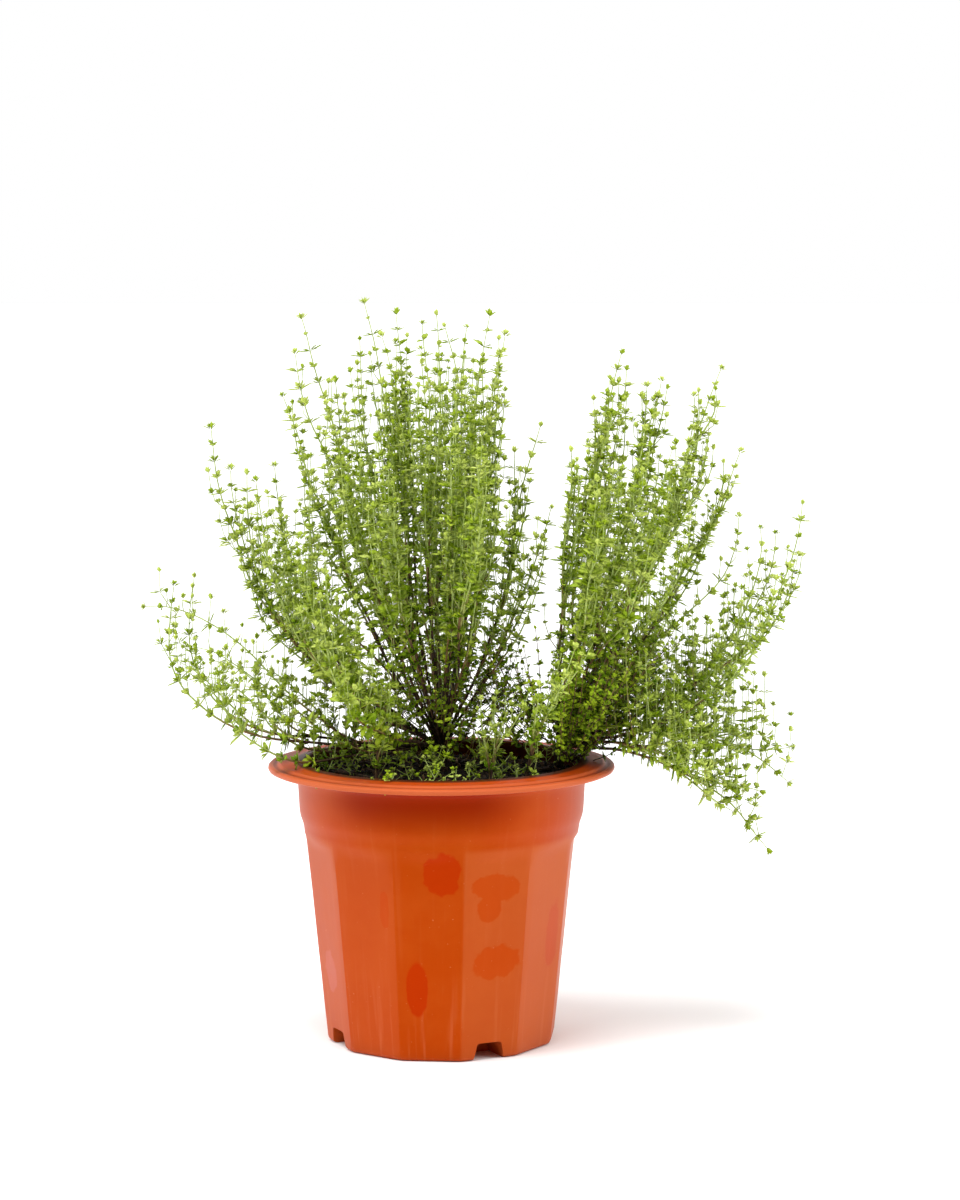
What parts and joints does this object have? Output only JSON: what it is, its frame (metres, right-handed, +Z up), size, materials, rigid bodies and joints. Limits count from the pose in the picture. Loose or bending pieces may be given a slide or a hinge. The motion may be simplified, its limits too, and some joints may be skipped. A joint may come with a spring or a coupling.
{
  "type": "potted thyme",
  "caption": "Bushy thyme with upright, spreading and trailing leafy sprigs in a tapered, faceted plastic nursery pot with a flanged rim.",
  "frame": {"origin": "centre of the flat underside of the pot, on the pot's axis", "axes": "+Z up along the pot's axis, -Y the front, +X the side where the sprigs trail over the rim"},
  "size_m": [0.3299, 0.2156, 0.3823],
  "materials": {
    "pot_plastic": "semi-gloss terracotta orange, water-stained",
    "potting_mix": "dark, crumbly and matte",
    "woody_stem": "thin flaking brown bark",
    "foliage": "small waxy green leaves, satin"
  },
  "bodies": {
    "root": {"basal_sprig_01": "foliage", "basal_sprig_02": "foliage", "basal_sprig_03": "foliage", "left_arching_sprig_01": "foliage", "left_arching_sprig_02": "foliage", "left_spreading_sprig_01": "foliage", "left_spreading_sprig_02": "foliage", "left_spreading_sprig_03": "foliage", "left_spreading_sprig_04": "foliage", "left_spreading_sprig_05": "foliage", "left_spreading_sprig_06": "foliage", "left_spreading_sprig_07": "foliage", "left_sweeping_sprig_01": "foliage", "left_sweeping_sprig_02": "foliage", "left_upright_sprig_01": "foliage", "left_upright_sprig_02": "foliage", "left_upright_sprig_03": "foliage", "left_upright_sprig_04": "foliage", "left_upright_sprig_05": "foliage", "left_upright_sprig_06": "foliage", "left_upright_sprig_07": "foliage", "left_upright_sprig_08": "foliage", "left_upright_sprig_09": "foliage", "left_upright_sprig_10": "foliage", "left_upright_sprig_11": "foliage", "left_upright_sprig_12": "foliage", "left_upright_sprig_13": "foliage", "left_upright_sprig_14": "foliage", "left_upright_sprig_15": "foliage", "left_upright_sprig_16": "foliage", "left_upright_sprig_17": "foliage", "left_upright_sprig_18": "foliage", "left_upright_sprig_19": "foliage", "left_upright_sprig_20": "foliage", "left_upright_sprig_21": "foliage", "left_upright_sprig_22": "foliage", "left_woody_crown": "woody_stem", "lying_stem_1": "woody_stem", "lying_stem_2": "woody_stem", "lying_stem_3": "woody_stem", "pot": "pot_plastic", "right_spreading_sprig_01": "foliage", "right_spreading_sprig_02": "foliage", "right_spreading_sprig_03": "foliage", "right_trailing_sprig_01": "foliage", "right_trailing_sprig_02": "foliage", "right_trailing_sprig_03": "foliage", "right_upright_sprig_01": "foliage", "right_upright_sprig_02": "foliage", "right_upright_sprig_03": "foliage", "right_upright_sprig_04": "foliage", "right_upright_sprig_05": "foliage", "right_upright_sprig_06": "foliage", "right_upright_sprig_07": "foliage", "right_upright_sprig_08": "foliage", "right_upright_sprig_09": "foliage", "right_upright_sprig_10": "foliage", "right_upright_sprig_11": "foliage", "right_woody_crown": "woody_stem", "soil": "potting_mix"}
  },
  "joints": []
}
